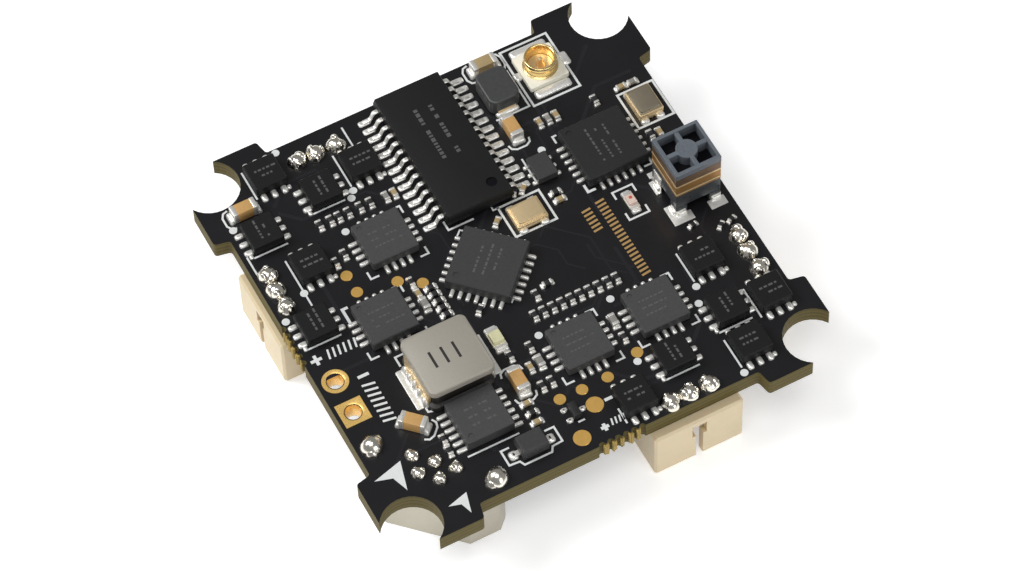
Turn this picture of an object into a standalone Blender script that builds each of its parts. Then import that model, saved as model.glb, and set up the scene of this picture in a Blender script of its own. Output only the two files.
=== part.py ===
"""A small flight controller board for a four-motor model aircraft.

The board carries every piece as its own object: power switches, motor drivers, radio, clock
crystals, coils and antenna on top, and the connectors, main processor, motion sensor and start
button underneath. X and Y run along the square of the four mounting notches, +Z points out of
the component side, and the origin is under the board's centre, on the surface that the
connectors' mouths stand on.
"""
import math

import bmesh
import bpy
from mathutils import Matrix, Vector

MM = 0.001

# Driving dimensions, in millimetres
NOTCH_PITCH = 26.0
NOTCH_RADIUS = 1.83
EAR_HALF = 14.56
BODY_HALF = 13.6
EAR_ROOT = 9.0
EAR_SLANT = 0.2
EAR_FILLET = 0.2
BOARD_THICKNESS = 1.2
CONNECTOR_HEIGHT = 3.8
SOLDER_GAP = 0.05

UNDERSIDE = CONNECTOR_HEIGHT
TOPSIDE = UNDERSIDE + BOARD_THICKNESS
SEAT = TOPSIDE + SOLDER_GAP
HANG = UNDERSIDE - SOLDER_GAP

# Motor connectors: one row of three pins in an open housing whose mouth faces down
PIN_PITCH = 1.25
PIN_SIDE = 0.4
PIN_TIP = 0.8
PIN_TAIL = 0.5
PIN_HOLE_RADIUS = 0.36
PIN_CLEARANCE = 0.06
HOUSING_WIDTH = 5.8
HOUSING_FRONT = 1.25
HOUSING_BACK = 1.95
HOUSING_WALL = 0.6
HOUSING_FRONT_WALL = 0.5
HOUSING_BASE = 1.0
HOUSING_BEVEL = 0.14
KEY_NARROW = 0.48
KEY_WIDE = 0.95
KEY_STEP = 1.5
KEY_TOP = 0.45
MOTOR_CONNECTORS = (
    ("1", -6.45, 12.10, 180),
    ("2", -12.75, 4.55, -90),
    ("3", 12.55, -6.20, 90),
    ("4", 4.85, -12.95, 0),
)

# Upright micro data socket across the corner, its mouth facing down
SOCKET_DISTANCE = 14.7
SOCKET_HALF_WIDTH = 3.94
SOCKET_HALF_DEPTH = 1.3
SOCKET_CHAMFER = 1.4
SOCKET_CORNER = 0.35
SOCKET_SHEET = 0.3
SOCKET_LEG_WIDTH = 0.82
SOCKET_LEG_SHIFT = 0.53
SOCKET_LEG_TAIL = 0.3
SOCKET_SLOT_CLEARANCE = 0.12
INSULATOR_DEPTH = 1.1
INSULATOR_GAP = 0.06
TONGUE_HALF_WIDTH = 1.9
TONGUE_THICKNESS = 0.6
TONGUE_SHIFT = 0.3
TONGUE_TIP = 0.5

# Battery pads on the left edge
BATTERY_PADS = ((-12.53, -2.53), (-12.55, -4.85))
BATTERY_HOLE_RADIUS = 0.5

# Half holes left where the board was snapped off its panel: (first x, first y, step x, step y)
SNAP_HOLE_RADIUS = 0.2
SNAP_HOLES = 6
SNAP_ROWS = ((-1.15, -BODY_HALF, 0.52, 0), (-BODY_HALF, -0.55, 0, 0.52))

# Power switches: two for each phase of the four motor drivers
MOSFET_SIZE = (2.0, 2.0, 0.75)
MOSFETS = (
    (-9.85, 11.95, 0), (-11.80, 8.35, 90), (-7.43, 9.43, 90), (-4.52, 10.08, 0),
    (-10.27, 5.05, 0), (-11.85, 1.20, 90), (9.85, -5.42, 0), (9.45, -9.10, 90),
    (12.10, -9.40, 0), (9.43, -11.80, 0), (1.90, -11.85, 0), (5.20, -10.47, 90),
)
DRIVER_SIZE = (3.0, 3.0, 0.75)
DRIVERS = ((-5.70, 4.55), (-8.18, -0.35), (0.85, -7.20), (5.84, -7.12))
CHIP_BEVEL = 0.06
DIMPLE_DEPTH = 0.05

# Video overlay chip with gull-wing leads down both long sides
OVERLAY_CENTRE = (0.15, 8.45)
OVERLAY_SIZE = (4.4, 9.7)
OVERLAY_LIFT = 0.1
OVERLAY_HEIGHT = 1.1
OVERLAY_BEVEL = 0.3
LEADS_PER_SIDE = 14
LEAD_PITCH = 0.65
LEAD_WIDTH = 0.24
LEAD_THICKNESS = 0.15
LEAD_SPAN = 6.4

# Tower antenna: a square block on four feet
TOWER_CENTRE = (11.55, -0.50)
TOWER_SIDE = 3.0
TOWER_HEIGHT = 4.0
TOWER_ARCH = 0.62
TOWER_POCKET = 1.0
TOWER_POCKET_DEPTH = 0.5
TOWER_ARM = 0.3
TOWER_HUB_RADIUS = 0.68

# Coaxial antenna socket
COAX_CENTRE = (8.05, 11.10)
COAX_BASE = (2.6, 2.6, 0.35)
COAX_OUTER = 1.0
COAX_INNER = 0.78
COAX_HEIGHT = 1.25
COAX_PIN_RADIUS = 0.22
COAX_GAP = 0.03

# Start button: a plunger that slides into its body
BUTTON_CENTRE = (8.2, 7.6)
BUTTON_BODY = (3.2, 2.8, 1.5)
BUTTON_BORE = 0.72
BUTTON_CHAMBER = 1.05
BUTTON_PLUNGER = 0.65
BUTTON_FLANGE = 0.95
BUTTON_LIP = 0.4
BUTTON_CAP = 0.55
BUTTON_TRAVEL = 0.25

ROUND_STEPS = 20


def clear_scene():
    """Start from nothing."""
    for obj in list(bpy.data.objects):
        bpy.data.objects.remove(obj, do_unlink=True)


def material(name, colour, roughness, metallic=0.0):
    """One plain surface finish, made once."""
    found = bpy.data.materials.get(name)
    if found:
        return found
    made = bpy.data.materials.new(name)
    made.use_nodes = True
    made.diffuse_color = (*colour, 1.0)
    shader = made.node_tree.nodes["Principled BSDF"]
    shader.inputs["Base Color"].default_value = (*colour, 1.0)
    shader.inputs["Roughness"].default_value = roughness
    shader.inputs["Metallic"].default_value = metallic
    return made


def board_black():
    return material("board_black", (0.012, 0.012, 0.014), 0.4)


def chip_black():
    return material("chip_black", (0.03, 0.03, 0.033), 0.6)


def cream_nylon():
    return material("cream_nylon", (0.78, 0.68, 0.48), 0.5)


def gold():
    return material("gold", (0.83, 0.58, 0.22), 0.25, 1.0)


def tin():
    return material("tin", (0.75, 0.74, 0.72), 0.3, 1.0)


def ceramic_tan():
    return material("ceramic_tan", (0.55, 0.38, 0.24), 0.45)


def coil_grey():
    return material("coil_grey", (0.3, 0.28, 0.25), 0.5, 0.3)


def antenna_grey():
    return material("antenna_grey", (0.13, 0.14, 0.17), 0.5)


def lens_white():
    return material("lens_white", (0.8, 0.82, 0.6), 0.3)


def place(name, bm, surface, x=0.0, y=0.0, z=0.0, degrees=0.0):
    """Turn a millimetre bmesh into an object at a place on the board."""
    bmesh.ops.recalc_face_normals(bm, faces=bm.faces)
    bm.transform(Matrix.Scale(MM, 4))
    mesh = bpy.data.meshes.new(name)
    bm.to_mesh(mesh)
    bm.free()
    mesh.materials.append(surface)
    obj = bpy.data.objects.new(name, mesh)
    bpy.context.scene.collection.objects.link(obj)
    obj.location = (x * MM, y * MM, z * MM)
    obj.rotation_euler = (0.0, 0.0, math.radians(degrees))
    return obj


def combine(obj, tool, operation):
    """Cut a tool object from a piece, or join it on, and keep the tool out of sight."""
    tool.hide_render = True
    tool.display_type = "WIRE"
    step = obj.modifiers.new(operation.lower(), "BOOLEAN")
    step.operation = operation
    step.solver = "EXACT"
    step.object = tool


def soften(obj, width, segments=1):
    """Round off an object's sharp edges."""
    step = obj.modifiers.new("edges", "BEVEL")
    step.width = width * MM
    step.segments = segments
    step.limit_method = "ANGLE"
    step.angle_limit = math.radians(40)


def smooth(obj):
    """Shade a turned piece as round."""
    obj.data.shade_smooth()
    obj.data.set_sharp_from_angle(angle=math.radians(35))


def add_block(bm, low, high):
    """A block between two corners."""
    centre = [(a + b) / 2 for a, b in zip(low, high)]
    size = [b - a for a, b in zip(low, high)]
    matrix = Matrix.Translation(centre) @ Matrix.Diagonal((*size, 1.0))
    return bmesh.ops.create_cube(bm, size=1.0, matrix=matrix)["verts"]


def block(low, high):
    bm = bmesh.new()
    add_block(bm, low, high)
    return bm


def add_prism(bm, outline, bottom, top):
    """An outline in X and Y, closed and raised from bottom to top."""
    verts = [bm.verts.new((x, y, bottom)) for x, y in outline]
    face = bm.faces.new(verts)
    lifted = bmesh.ops.extrude_face_region(bm, geom=[face])["geom"]
    moved = [item for item in lifted if isinstance(item, bmesh.types.BMVert)]
    bmesh.ops.translate(bm, verts=moved, vec=(0, 0, top - bottom))


def prism(outline, bottom, top):
    bm = bmesh.new()
    add_prism(bm, outline, bottom, top)
    return bm


def circle(radius, x=0.0, y=0.0, steps=ROUND_STEPS):
    """Points round a circle."""
    turns = [2 * math.pi * i / steps for i in range(steps)]
    return [(x + radius * math.cos(a), y + radius * math.sin(a)) for a in turns]


def turned(profile, steps=ROUND_STEPS):
    """A profile of (radius, height) points turned round Z and closed at both ends."""
    bm = bmesh.new()
    rings = []
    for radius, height in profile:
        if radius == 0:
            rings.append([bm.verts.new((0, 0, height))])
        else:
            rings.append([bm.verts.new((x, y, height)) for x, y in circle(radius, steps=steps)])
    for lower, upper in zip(rings, rings[1:]):
        for i in range(steps):
            j = (i + 1) % steps
            corners = [lower[i % len(lower)], lower[j % len(lower)],
                       upper[j % len(upper)], upper[i % len(upper)]]
            bm.faces.new(list(dict.fromkeys(corners)))
    if len(rings[0]) > 1 and rings[0][0].co != rings[-1][0].co:
        bm.faces.new(rings[0])
    if len(rings[-1]) > 1 and rings[0][0].co != rings[-1][0].co:
        bm.faces.new(rings[-1])
    return bm


def ring(inner, outer, bottom, top, steps=ROUND_STEPS):
    """A plain tube round Z."""
    bm = bmesh.new()
    loops = []
    for radius, height in ((inner, bottom), (outer, bottom), (outer, top), (inner, top)):
        loops.append([bm.verts.new((x, y, height)) for x, y in circle(radius, steps=steps)])
    for lower, upper in zip(loops, loops[1:] + loops[:1]):
        for i in range(steps):
            j = (i + 1) % steps
            bm.faces.new((lower[i], lower[j], upper[j], upper[i]))
    return bm


def fillet(before, corner, after, radius, steps=4):
    """Points of an arc that rounds one corner of an outline."""
    corner = Vector(corner)
    to_before = (Vector(before) - corner).normalized()
    to_after = (Vector(after) - corner).normalized()
    half = to_before.angle(to_after) / 2
    start = corner + to_before * radius / math.tan(half)
    end = corner + to_after * radius / math.tan(half)
    centre = corner + (to_before + to_after).normalized() * radius / math.sin(half)
    points = []
    for i in range(steps + 1):
        mix = start.lerp(end, i / steps) - centre
        points.append(tuple(centre + mix.normalized() * radius))
    return points


def rounded_rectangle(width, depth, radius, steps=4):
    """An outline with four round corners."""
    w, d = width / 2, depth / 2
    corners = [(w, -d), (w, d), (-w, d), (-w, -d)]
    points = []
    for i, corner in enumerate(corners):
        points += fillet(corners[i - 1], corner, corners[(i + 1) % 4], radius, steps)
    return points


def turn(point, degrees):
    """A point turned about the board's centre."""
    angle = math.radians(degrees)
    x, y = point
    return (x * math.cos(angle) - y * math.sin(angle), x * math.sin(angle) + y * math.cos(angle))


def board_outline():
    """The square with an ear at each corner and a notch through each ear."""
    centre = NOTCH_PITCH / 2
    reach = EAR_HALF - centre
    tip = math.sqrt(NOTCH_RADIUS ** 2 - reach ** 2)
    first = math.atan2(-tip, reach)
    sweep = 2 * math.pi - (math.atan2(reach, -tip) - first)
    steps = 18
    notch = []
    for i in range(steps + 1):
        angle = first - sweep * i / steps
        notch.append((centre + NOTCH_RADIUS * math.cos(angle),
                      centre + NOTCH_RADIUS * math.sin(angle)))
    root = (BODY_HALF, EAR_ROOT)
    shoulder = (EAR_HALF, EAR_ROOT + EAR_SLANT)
    quarter = fillet((BODY_HALF, 0), root, shoulder, EAR_FILLET)
    quarter += fillet(root, shoulder, notch[0], EAR_FILLET)
    quarter += notch
    quarter += [(y, x) for x, y in reversed(quarter[:-len(notch)])]
    return [turn(point, 90 * side) for side in range(4) for point in quarter]


def connector_frame(x, y, degrees, local):
    """Board position of a point given in a connector's own frame."""
    dx, dy = turn(local, degrees)
    return x + dx, y + dy


def socket_place():
    """Centre of the data socket, on the diagonal of its corner."""
    reach = SOCKET_DISTANCE / math.sqrt(2)
    return -reach, -reach


def make_board():
    """The printed circuit board with its plated holes."""
    board = place("circuit_board", prism(board_outline(), UNDERSIDE, TOPSIDE), board_black())
    holes = bmesh.new()
    low, high = UNDERSIDE - 1, TOPSIDE + 1
    for x, y in BATTERY_PADS:
        add_prism(holes, circle(BATTERY_HOLE_RADIUS, x, y, 16), low, high)
    for _, x, y, degrees in MOTOR_CONNECTORS:
        for step in (-1, 0, 1):
            centre = connector_frame(x, y, degrees, (step * PIN_PITCH, 0))
            add_prism(holes, circle(PIN_HOLE_RADIUS, *centre, 12), low, high)
    for x, y, step_x, step_y in SNAP_ROWS:
        for i in range(SNAP_HOLES):
            add_prism(holes, circle(SNAP_HOLE_RADIUS, x + i * step_x, y + i * step_y, 12), low, high)
    combine(board, place("board_holes", holes, board_black()), "DIFFERENCE")
    x, y = socket_place()
    slots = bmesh.new()
    gap = SOCKET_SLOT_CLEARANCE
    for side in (-1, 1):
        inner = side * (SOCKET_HALF_WIDTH - SOCKET_SHEET - gap)
        outer = side * (SOCKET_HALF_WIDTH + gap)
        reach = SOCKET_LEG_WIDTH / 2 + gap
        add_block(slots, (min(inner, outer), SOCKET_LEG_SHIFT - reach, low),
                  (max(inner, outer), SOCKET_LEG_SHIFT + reach, high))
    combine(board, place("leg_slots", slots, board_black(), x, y, 0, -45), "DIFFERENCE")


def make_housing(number, x, y, degrees):
    """One motor connector housing: walls round three pins, keyed on its outer side."""
    half = HOUSING_WIDTH / 2
    shell = place(f"motor_connector_{number}_housing",
                  block((-half, -HOUSING_FRONT, 0), (half, HOUSING_BACK, HANG)),
                  cream_nylon(), x, y, 0, degrees)
    soften(shell, HOUSING_BEVEL)
    cutter = bmesh.new()
    inner = half - HOUSING_WALL
    base = HANG - HOUSING_BASE
    add_block(cutter, (-inner, -HOUSING_FRONT + HOUSING_FRONT_WALL, -1),
              (inner, HOUSING_BACK - HOUSING_WALL, base))
    cavity = place(f"housing_{number}_cavity", cutter, cream_nylon(), x, y, 0, degrees)
    combine(shell, cavity, "DIFFERENCE")
    key = bmesh.new()
    depth = -HOUSING_FRONT + HOUSING_FRONT_WALL + 0.1
    wide, narrow = KEY_WIDE / 2, KEY_NARROW / 2
    step, top = HANG - KEY_STEP, HANG - KEY_TOP
    outline = [(-narrow, -1), (narrow, -1), (narrow, step), (wide, step), (wide, top),
               (-wide, top), (-wide, step), (-narrow, step)]
    verts = [key.verts.new((px, -HOUSING_FRONT - 1, pz)) for px, pz in outline]
    lifted = bmesh.ops.extrude_face_region(key, geom=[key.faces.new(verts)])["geom"]
    moved = [item for item in lifted if isinstance(item, bmesh.types.BMVert)]
    bmesh.ops.translate(key, verts=moved, vec=(0, depth + HOUSING_FRONT + 1, 0))
    combine(shell, place(f"housing_{number}_key", key, cream_nylon(), x, y, 0, degrees),
            "DIFFERENCE")
    bores = bmesh.new()
    reach = PIN_SIDE / 2 + PIN_CLEARANCE
    for step in (-1, 0, 1):
        mid = step * PIN_PITCH
        add_block(bores, (mid - reach, -reach, base - 0.5), (mid + reach, reach, HANG + 1))
    combine(shell, place(f"housing_{number}_bores", bores, cream_nylon(), x, y, 0, degrees),
            "DIFFERENCE")


def make_pin(number, index, x, y, degrees):
    """One square pin with a pointed tip, from inside the housing up through the board."""
    half, point = PIN_SIDE / 2, PIN_SIDE / 5
    bm = bmesh.new()
    levels = ((point, PIN_TIP), (half, PIN_TIP + 0.35), (half, TOPSIDE + PIN_TAIL - 0.15),
              (point * 1.5, TOPSIDE + PIN_TAIL))
    squares = []
    for side, height in levels:
        corners = ((-side, -side), (side, -side), (side, side), (-side, side))
        squares.append([bm.verts.new((*corner, height)) for corner in corners])
    for lower, upper in zip(squares, squares[1:]):
        for i in range(4):
            bm.faces.new((lower[i], lower[(i + 1) % 4], upper[(i + 1) % 4], upper[i]))
    bm.faces.new(squares[0])
    bm.faces.new(squares[-1])
    place(f"motor_connector_{number}_pin_{index}", bm, gold(), x, y, 0, degrees)


def make_motor_connectors():
    for number, x, y, degrees in MOTOR_CONNECTORS:
        make_housing(number, x, y, degrees)
        for step in (-1, 0, 1):
            pin_x, pin_y = connector_frame(x, y, degrees, (step * PIN_PITCH, 0))
            make_pin(number, step + 2, pin_x, pin_y, degrees)


def socket_outline(inset):
    """The data socket's section: chamfered on its outer long side, drawn in by an inset."""
    w, d = SOCKET_HALF_WIDTH - inset, SOCKET_HALF_DEPTH - inset
    chamfer = SOCKET_CHAMFER - inset * (2 - math.sqrt(2))
    corner = max(SOCKET_CORNER - inset, 0.1)
    low_left, low_right = (-w + chamfer, -d), (w - chamfer, -d)
    right, left = (w, -d + chamfer), (-w, -d + chamfer)
    points = [low_left, low_right, right]
    points += fillet(right, (w, d), (-w, d), corner, 3)
    points += fillet((w, d), (-w, d), left, corner, 3)
    points.append(left)
    return points


def make_data_socket():
    """Sheet-metal shell with two board legs, and the insulator with its contact tongue."""
    x, y = socket_place()
    shell = place("usb_shell", prism(socket_outline(0), 0, HANG), tin(), x, y, 0, -45)
    inside = place("usb_shell_inside", prism(socket_outline(SOCKET_SHEET), -1, HANG + 1), tin(),
                   x, y, 0, -45)
    combine(shell, inside, "DIFFERENCE")
    legs = bmesh.new()
    reach = SOCKET_LEG_WIDTH / 2
    for side in (-1, 1):
        near, far = SOCKET_HALF_WIDTH - SOCKET_SHEET, SOCKET_HALF_WIDTH
        ends = sorted((side * near, side * far))
        add_block(legs, (ends[0], SOCKET_LEG_SHIFT - reach, HANG - 0.6),
                  (ends[1], SOCKET_LEG_SHIFT + reach, TOPSIDE + SOCKET_LEG_TAIL))
    combine(shell, place("usb_shell_legs", legs, tin(), x, y, 0, -45), "UNION")

    inset = SOCKET_SHEET + INSULATOR_GAP
    floor = HANG - INSULATOR_DEPTH
    insulator = place("usb_insulator", prism(socket_outline(inset), floor, HANG), chip_black(),
                      x, y, 0, -45)
    thick = TONGUE_THICKNESS / 2
    tongue = block((-TONGUE_HALF_WIDTH, TONGUE_SHIFT - thick, TONGUE_TIP),
                   (TONGUE_HALF_WIDTH, TONGUE_SHIFT + thick, floor + 0.4))
    combine(insulator, place("usb_tongue", tongue, chip_black(), x, y, 0, -45), "UNION")


def make_chip(name, size, x, y, degrees=0.0, bevel=CHIP_BEVEL, dimple=None, underside=False):
    """A moulded chip body with softened edges and, if asked, its first-pin dimple."""
    width, depth, height = size
    low, high = (HANG - height, HANG) if underside else (SEAT, SEAT + height)
    body = place(name, block((-width / 2, -depth / 2, low), (width / 2, depth / 2, high)),
                 chip_black(), x, y, 0, degrees)
    soften(body, bevel)
    if dimple:
        dx, dy, radius = dimple
        face = low if underside else high
        cutter = prism(circle(radius, dx, dy, 14), face - DIMPLE_DEPTH, face + DIMPLE_DEPTH)
        combine(body, place(f"{name}_dimple", cutter, chip_black(), x, y, 0, degrees),
                "DIFFERENCE")
    return body


def make_power_stage():
    for index, (x, y, degrees) in enumerate(MOSFETS, 1):
        make_chip(f"mosfet_{index}", MOSFET_SIZE, x, y, degrees)
    for index, (x, y) in enumerate(DRIVERS, 1):
        make_chip(f"motor_driver_{index}", DRIVER_SIZE, x, y, 0, dimple=(-1.1, 1.1, 0.16))


def lead_outline(side):
    """Side view of one gull-wing lead, from inside the body down to its foot."""
    thick = LEAD_THICKNESS
    root, knee = OVERLAY_SIZE[0] / 2, OVERLAY_SIZE[0] / 2 + 0.3
    foot, toe = OVERLAY_SIZE[0] / 2 + 0.5, LEAD_SPAN / 2
    high = OVERLAY_LIFT + OVERLAY_HEIGHT / 2
    points = [(root - 0.3, high), (knee, high), (foot + 0.06, thick), (toe, thick), (toe, 0),
              (foot - 0.06, 0), (knee - 0.12, high - thick), (root - 0.3, high - thick)]
    return [(side * x, z) for x, z in points]


def make_overlay_chip():
    """The long chip and its 28 leads."""
    x, y = OVERLAY_CENTRE
    width, depth = OVERLAY_SIZE
    bm = bmesh.new()
    low = SEAT + OVERLAY_LIFT
    high = low + OVERLAY_HEIGHT - OVERLAY_LIFT
    add_block(bm, (-width / 2, -depth / 2, low), (width / 2, depth / 2, high))
    ridge = [edge for edge in bm.edges
             if all(v.co.x < 0 and v.co.z > (low + high) / 2 for v in edge.verts)]
    bmesh.ops.bevel(bm, geom=ridge, offset=OVERLAY_BEVEL, segments=1, affect="EDGES")
    body = place("osd_chip", bm, chip_black(), x, y)
    soften(body, CHIP_BEVEL)
    dimple = prism(circle(0.33, 1.25, -3.8), high - DIMPLE_DEPTH, high + DIMPLE_DEPTH)
    combine(body, place("osd_chip_dimple", dimple, chip_black(), x, y), "DIFFERENCE")
    leads = bmesh.new()
    for side in (-1, 1):
        for index in range(LEADS_PER_SIDE):
            middle = (index - (LEADS_PER_SIDE - 1) / 2) * LEAD_PITCH
            verts = [leads.verts.new((px, middle - LEAD_WIDTH / 2, SEAT + pz))
                     for px, pz in lead_outline(side)]
            lifted = bmesh.ops.extrude_face_region(leads, geom=[leads.faces.new(verts)])["geom"]
            moved = [item for item in lifted if isinstance(item, bmesh.types.BMVert)]
            bmesh.ops.translate(leads, verts=moved, vec=(0, LEAD_WIDTH, 0))
    combine(body, place("osd_chip_leads", leads, tin(), x, y), "UNION")


def make_logic():
    make_overlay_chip()
    make_chip("receiver_processor", (4.0, 4.0, 0.85), -1.30, 0.05, 45, dimple=(-1.45, 1.45, 0.2))
    make_chip("radio_transceiver", (4.0, 4.0, 0.85), 8.55, 4.12, 0, dimple=(-1.5, 1.5, 0.2))
    make_chip("step_down_regulator", (3.0, 3.0, 0.85), -6.50, -8.85, dimple=(-1.1, -1.1, 0.17))
    make_chip("linear_regulator", (1.3, 1.7, 0.6), 4.70, 4.60)
    make_chip("surge_diode", (1.7, 1.25, 0.9), -4.72, -11.80, 0, 0.1)
    make_chip("main_processor", (7.0, 7.0, 0.85), 0.6, 0.6, 0, dimple=(-2.9, -2.9, 0.3),
              underside=True)
    make_chip("motion_sensor", (3.0, 2.5, 0.85), -1.2, -7.6, 0, dimple=(-1.1, -0.85, 0.17),
              underside=True)


def make_coils():
    """The moulded power coil and the small filter coil."""
    power = place("power_inductor", prism(rounded_rectangle(4.2, 4.2, 0.45), SEAT, SEAT + 2.0),
                  coil_grey(), -6.57, -5.12)
    soften(power, 0.15, 2)
    small = place("filter_inductor", prism(rounded_rectangle(2.0, 2.5, 0.5), SEAT, SEAT + 1.2),
                  chip_black(), 4.90, 10.60)
    soften(small, 0.12, 2)


def make_capacitors():
    """The five larger capacitors."""
    places = ((-12.05, 10.30, 0), (5.10, 12.75, 0), (4.45, 7.90, 90), (-9.95, -7.33, -45),
              (-3.42, -7.76, 90))
    for index, (x, y, degrees) in enumerate(places, 1):
        body = place(f"capacitor_{index}", block((-0.8, -0.4, SEAT), (0.8, 0.4, SEAT + 0.8)),
                     ceramic_tan(), x, y, 0, degrees)
        soften(body, 0.08, 2)


def make_stepped(name, size, lid, lid_inset, surface, x, y):
    """A flat package with a lid standing in from its edges."""
    width, depth, height = size
    bm = block((-width / 2, -depth / 2, SEAT), (width / 2, depth / 2, SEAT + height - lid))
    top = max(bm.faces, key=lambda face: face.calc_center_median().z)
    bmesh.ops.inset_region(bm, faces=[top], thickness=lid_inset)
    lifted = bmesh.ops.extrude_face_region(bm, geom=[top])["geom"]
    moved = [item for item in lifted if isinstance(item, bmesh.types.BMVert)]
    bmesh.ops.translate(bm, verts=moved, vec=(0, 0, lid))
    bmesh.ops.delete(bm, geom=[top], context="FACES")
    place(name, bm, surface, x, y)


def make_clocks_and_lights():
    make_stepped("osd_crystal", (2.0, 1.6, 0.55), 0.18, 0.14, gold(), 2.45, 2.20)
    make_stepped("radio_oscillator", (1.6, 2.0, 0.70), 0.2, 0.14, tin(), 12.20, 5.80)
    make_stepped("power_led", (0.8, 1.4, 0.45), 0.2, 0.1, lens_white(), -3.15, -4.50)
    make_stepped("receiver_led", (0.6, 1.2, 0.40), 0.2, 0.08, lens_white(), 8.20, 0.10)


def make_tower():
    """The tower antenna: pockets round a hub on top, bands round it, arches between its feet."""
    x, y = TOWER_CENTRE
    half = TOWER_SIDE / 2
    top = SEAT + TOWER_HEIGHT
    tower = place("antenna_tower", block((-half, -half, SEAT), (half, half, top)),
                  antenna_grey(), x, y)
    cutter = bmesh.new()
    for sx in (-1, 1):
        for sy in (-1, 1):
            near, far = TOWER_ARM / 2, TOWER_ARM / 2 + TOWER_POCKET
            xs, ys = sorted((sx * near, sx * far)), sorted((sy * near, sy * far))
            add_block(cutter, (xs[0], ys[0], top - TOWER_POCKET_DEPTH), (xs[1], ys[1], top + 1))
    combine(tower, place("tower_pockets", cutter, antenna_grey(), x, y), "DIFFERENCE")
    hub = prism(circle(TOWER_HUB_RADIUS, steps=24), top - 1.0, top - 0.02)
    combine(tower, place("tower_hub", hub, antenna_grey(), x, y), "UNION")
    for turn_over in (0, 90):
        arch = bmesh.new()
        verts = [arch.verts.new((-half - 1, px, SEAT + max(pz, -0.5)))
                 for px, pz in circle(TOWER_ARCH, steps=16)]
        lifted = bmesh.ops.extrude_face_region(arch, geom=[arch.faces.new(verts)])["geom"]
        moved = [item for item in lifted if isinstance(item, bmesh.types.BMVert)]
        bmesh.ops.translate(arch, verts=moved, vec=(TOWER_SIDE + 2, 0, 0))
        combine(tower, place(f"tower_arch_{turn_over}", arch, antenna_grey(), x, y, 0, turn_over),
                "DIFFERENCE")


def make_coax_socket():
    """The antenna lead's press-on socket: base, outer ring and centre pin."""
    x, y = COAX_CENTRE
    width, depth, height = COAX_BASE
    base = place("antenna_socket_base",
                 block((-width / 2, -depth / 2, SEAT), (width / 2, depth / 2, SEAT + height)),
                 cream_nylon(), x, y)
    soften(base, 0.06)
    foot = SEAT + height + COAX_GAP
    barrel = place("antenna_socket_ring", ring(COAX_INNER, COAX_OUTER, foot, SEAT + COAX_HEIGHT,
                                               28), gold(), x, y)
    smooth(barrel)
    pin = turned(((COAX_PIN_RADIUS, foot), (COAX_PIN_RADIUS, SEAT + COAX_HEIGHT - 0.25),
                  (COAX_PIN_RADIUS * 0.6, SEAT + COAX_HEIGHT - 0.12)), 14)
    smooth(place("antenna_socket_pin", pin, gold(), x, y))


def make_start_button():
    """A push button on the underside. Pressing moves the plunger up into the body."""
    x, y = BUTTON_CENTRE
    width, depth, height = BUTTON_BODY
    low = HANG - height
    body = place("boot_button_body",
                 block((-width / 2, -depth / 2, low), (width / 2, depth / 2, HANG)),
                 tin(), x, y)
    lip = low + BUTTON_LIP
    roof = HANG - 0.4
    bore = turned(((BUTTON_BORE, low - 1), (BUTTON_BORE, lip), (BUTTON_CHAMBER, lip),
                   (BUTTON_CHAMBER, roof)), 24)
    combine(body, place("boot_button_bore", bore, tin(), x, y), "DIFFERENCE")
    rest = lip + 0.03
    crown = roof - BUTTON_TRAVEL - 0.1
    plunger = turned(((BUTTON_PLUNGER - 0.12, low - BUTTON_CAP),
                      (BUTTON_PLUNGER, low - BUTTON_CAP + 0.12),
                      (BUTTON_PLUNGER, rest), (BUTTON_FLANGE, rest), (BUTTON_FLANGE, crown)), 24)
    smooth(place("boot_button_plunger", plunger, chip_black(), x, y))


def main():
    clear_scene()
    make_board()
    make_motor_connectors()
    make_data_socket()
    make_power_stage()
    make_logic()
    make_coils()
    make_capacitors()
    make_clocks_and_lights()
    make_tower()
    make_coax_socket()
    make_start_button()


main()
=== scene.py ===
"""Looks of a micro flight controller board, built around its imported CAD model.

Lengths are in millimetres until a piece is made. X and Y run along the mounting square, +Z is the
component side, and heights come from the CAD model's own boxes.
"""
import math
import random

import bmesh
import bpy
from mathutils import Matrix, Vector, noise


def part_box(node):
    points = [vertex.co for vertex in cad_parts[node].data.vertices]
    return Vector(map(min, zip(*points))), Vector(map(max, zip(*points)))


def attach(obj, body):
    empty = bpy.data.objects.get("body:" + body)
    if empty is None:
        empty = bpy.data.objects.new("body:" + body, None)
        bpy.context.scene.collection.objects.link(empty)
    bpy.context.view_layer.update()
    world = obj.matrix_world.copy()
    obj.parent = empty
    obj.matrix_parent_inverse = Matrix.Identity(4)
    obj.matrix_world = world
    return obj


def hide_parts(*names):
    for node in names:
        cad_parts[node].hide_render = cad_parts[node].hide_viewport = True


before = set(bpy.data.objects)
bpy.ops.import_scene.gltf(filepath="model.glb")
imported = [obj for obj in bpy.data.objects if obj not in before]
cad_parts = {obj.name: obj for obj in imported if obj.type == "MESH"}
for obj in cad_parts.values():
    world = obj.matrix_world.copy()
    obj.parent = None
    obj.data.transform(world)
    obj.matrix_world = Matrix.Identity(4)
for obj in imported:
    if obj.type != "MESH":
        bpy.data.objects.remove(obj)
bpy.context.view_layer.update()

MM = 0.001
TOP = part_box("circuit_board")[1].z / MM
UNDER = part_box("circuit_board")[0].z / MM
INK = 0.02
PAD = 0.035
BODY_HALF = 13.6
EAR_HALF = 14.56
NOTCH_CENTRE = 13.0
NOTCH_RADIUS = 1.83
MITRE_LIMIT = 0.35
CORNERS = ((-1, -1), (-1, 1), (1, -1), (1, 1))
HEADINGS = {"S": 0, "E": 90, "N": 180, "W": 270}
CAMERA_PLACE = (-62.07, -129.11, 220.83)
CAMERA_TURN = (32.601, 1.39, -27.91)
CAMERA_LENS = 159.2


# ---- outlines and solids

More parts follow.
